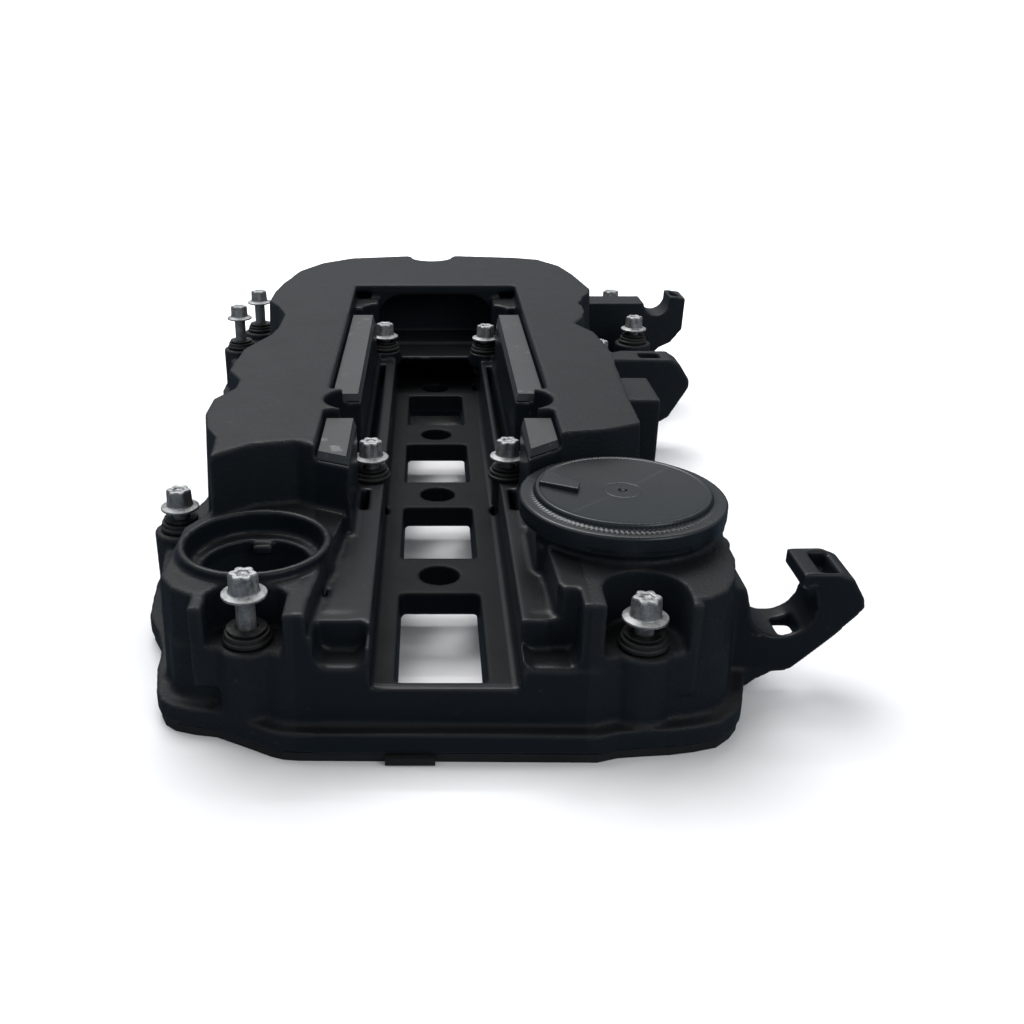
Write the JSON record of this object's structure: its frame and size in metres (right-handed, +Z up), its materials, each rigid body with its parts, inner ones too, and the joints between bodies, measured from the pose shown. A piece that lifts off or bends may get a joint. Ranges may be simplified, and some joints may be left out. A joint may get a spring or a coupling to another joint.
{
  "type": "camshaft cover",
  "caption": "Moulded plastic cover for the top of a small inline engine's cylinder head, with captive bolts, gaskets, oil filler neck and breather valve.",
  "frame": {"origin": "centre of the overall box in plan, on the sealing plane at the bottom", "axes": "+X across the engine towards the breather valve side, +Y along the engine from the oil filler end to the chain end, +Z up out of the cover"},
  "size_m": [0.283, 0.4428, 0.079],
  "materials": {
    "nylon": "black glass-filled nylon, fine moulded grain",
    "satin_nylon": "black nylon, smooth satin",
    "gasket_rubber": "black rubber, matt",
    "steel": "zinc-plated, dull",
    "dark_steel": "dark phosphated steel"
  },
  "bodies": {
    "cover": {"cover_shell": "nylon", "perimeter_gasket": "gasket_rubber", "valley_gasket": "gasket_rubber", "pcv_cap": "satin_nylon", "pcv_membrane": "gasket_rubber", "pcv_spring": "steel", "baffle_left": "satin_nylon", "lid_left_front": "satin_nylon", "lid_left_rear": "satin_nylon", "baffle_right": "satin_nylon", "lid_right_front": "satin_nylon", "lid_right_rear": "satin_nylon", "sleeve_front_left": "dark_steel", "grommet_front_left": "gasket_rubber", "sleeve_front_right": "dark_steel", "grommet_front_right": "gasket_rubber", "sleeve_left_near": "dark_steel", "grommet_left_near": "gasket_rubber", "sleeve_left_mid": "dark_steel", "grommet_left_mid": "gasket_rubber", "sleeve_left_rear": "dark_steel", "grommet_left_rear": "gasket_rubber", "sleeve_left_far": "dark_steel", "grommet_left_far": "gasket_rubber", "sleeve_inner_left_near": "dark_steel", "grommet_inner_left_near": "gasket_rubber", "sleeve_inner_right_near": "dark_steel", "grommet_inner_right_near": "gasket_rubber", "sleeve_inner_left_far": "dark_steel", "grommet_inner_left_far": "gasket_rubber", "sleeve_inner_right_far": "dark_steel", "grommet_inner_right_far": "gasket_rubber", "sleeve_right_near": "dark_steel", "grommet_right_near": "gasket_rubber", "sleeve_right_mid": "dark_steel", "grommet_right_mid": "gasket_rubber", "sleeve_right_rear": "dark_steel", "grommet_right_rear": "gasket_rubber", "sleeve_right_far": "dark_steel", "grommet_right_far": "gasket_rubber", "sleeve_far_centre": "dark_steel", "grommet_far_centre": "gasket_rubber"},
    "bolt_front_left_body": {"bolt_front_left": "steel"},
    "bolt_front_right_body": {"bolt_front_right": "steel"},
    "bolt_left_near_body": {"bolt_left_near": "steel"},
    "bolt_left_mid_body": {"bolt_left_mid": "steel"},
    "bolt_left_rear_body": {"bolt_left_rear": "steel"},
    "bolt_left_far_body": {"bolt_left_far": "steel"},
    "bolt_inner_left_near_body": {"bolt_inner_left_near": "steel"},
    "bolt_inner_right_near_body": {"bolt_inner_right_near": "steel"},
    "bolt_inner_left_far_body": {"bolt_inner_left_far": "steel"},
    "bolt_inner_right_far_body": {"bolt_inner_right_far": "steel"},
    "bolt_right_near_body": {"bolt_right_near": "steel"},
    "bolt_right_mid_body": {"bolt_right_mid": "steel"},
    "bolt_right_rear_body": {"bolt_right_rear": "steel"},
    "bolt_right_far_body": {"bolt_right_far": "steel"},
    "bolt_far_centre_body": {"bolt_far_centre": "steel"},
    "pcv_valve": {"pcv_valve_plate": "satin_nylon"}
  },
  "joints": [
    {"name": "bolt_front_left_slide", "type": "slide", "parent": "cover", "child": "bolt_front_left_body", "axis": [0, 0, 1], "range_m": [-0.0109, 0]},
    {"name": "bolt_front_right_slide", "type": "slide", "parent": "cover", "child": "bolt_front_right_body", "axis": [0, 0, 1], "range_m": [-0.0042, 0.0085]},
    {"name": "bolt_left_near_slide", "type": "slide", "parent": "cover", "child": "bolt_left_near_body", "axis": [0, 0, 1], "range_m": [-0.0032, 0.0085]},
    {"name": "bolt_left_mid_slide", "type": "slide", "parent": "cover", "child": "bolt_left_mid_body", "axis": [0, 0, 1], "range_m": [-0.0127, 0]},
    {"name": "bolt_left_rear_slide", "type": "slide", "parent": "cover", "child": "bolt_left_rear_body", "axis": [0, 0, 1], "range_m": [-0.0127, 0]},
    {"name": "bolt_left_far_slide", "type": "slide", "parent": "cover", "child": "bolt_left_far_body", "axis": [0, 0, 1], "range_m": [-0.0127, 0]},
    {"name": "bolt_inner_left_near_slide", "type": "slide", "parent": "cover", "child": "bolt_inner_left_near_body", "axis": [0, 0, 1], "range_m": [-0.0033, 0]},
    {"name": "bolt_inner_right_near_slide", "type": "slide", "parent": "cover", "child": "bolt_inner_right_near_body", "axis": [0, 0, 1], "range_m": [-0.0033, 0]},
    {"name": "bolt_inner_left_far_slide", "type": "slide", "parent": "cover", "child": "bolt_inner_left_far_body", "axis": [0, 0, 1], "range_m": [-0.0017, 0]},
    {"name": "bolt_inner_right_far_slide", "type": "slide", "parent": "cover", "child": "bolt_inner_right_far_body", "axis": [0, 0, 1], "range_m": [-0.0017, 0]},
    {"name": "bolt_right_near_slide", "type": "slide", "parent": "cover", "child": "bolt_right_near_body", "axis": [0, 0, 1], "range_m": [-0.0042, 0.0085]},
    {"name": "bolt_right_mid_slide", "type": "slide", "parent": "cover", "child": "bolt_right_mid_body", "axis": [0, 0, 1], "range_m": [-0.0078, 0]},
    {"name": "bolt_right_rear_slide", "type": "slide", "parent": "cover", "child": "bolt_right_rear_body", "axis": [0, 0, 1], "range_m": [-0.0023, 0]},
    {"name": "bolt_right_far_slide", "type": "slide", "parent": "cover", "child": "bolt_right_far_body", "axis": [0, 0, 1], "range_m": [-0.0127, 0]},
    {"name": "bolt_far_centre_slide", "type": "slide", "parent": "cover", "child": "bolt_far_centre_body", "axis": [0, 0, 1], "range_m": [-0.0127, 0]},
    {"name": "pcv_valve_slide", "type": "slide", "parent": "cover", "child": "pcv_valve", "axis": [0, 0, 1], "range_m": [-0.003, 0], "stiffness_N_per_m": 60, "springref_m": 0.002, "deforming": ["pcv_spring"]}
  ]
}
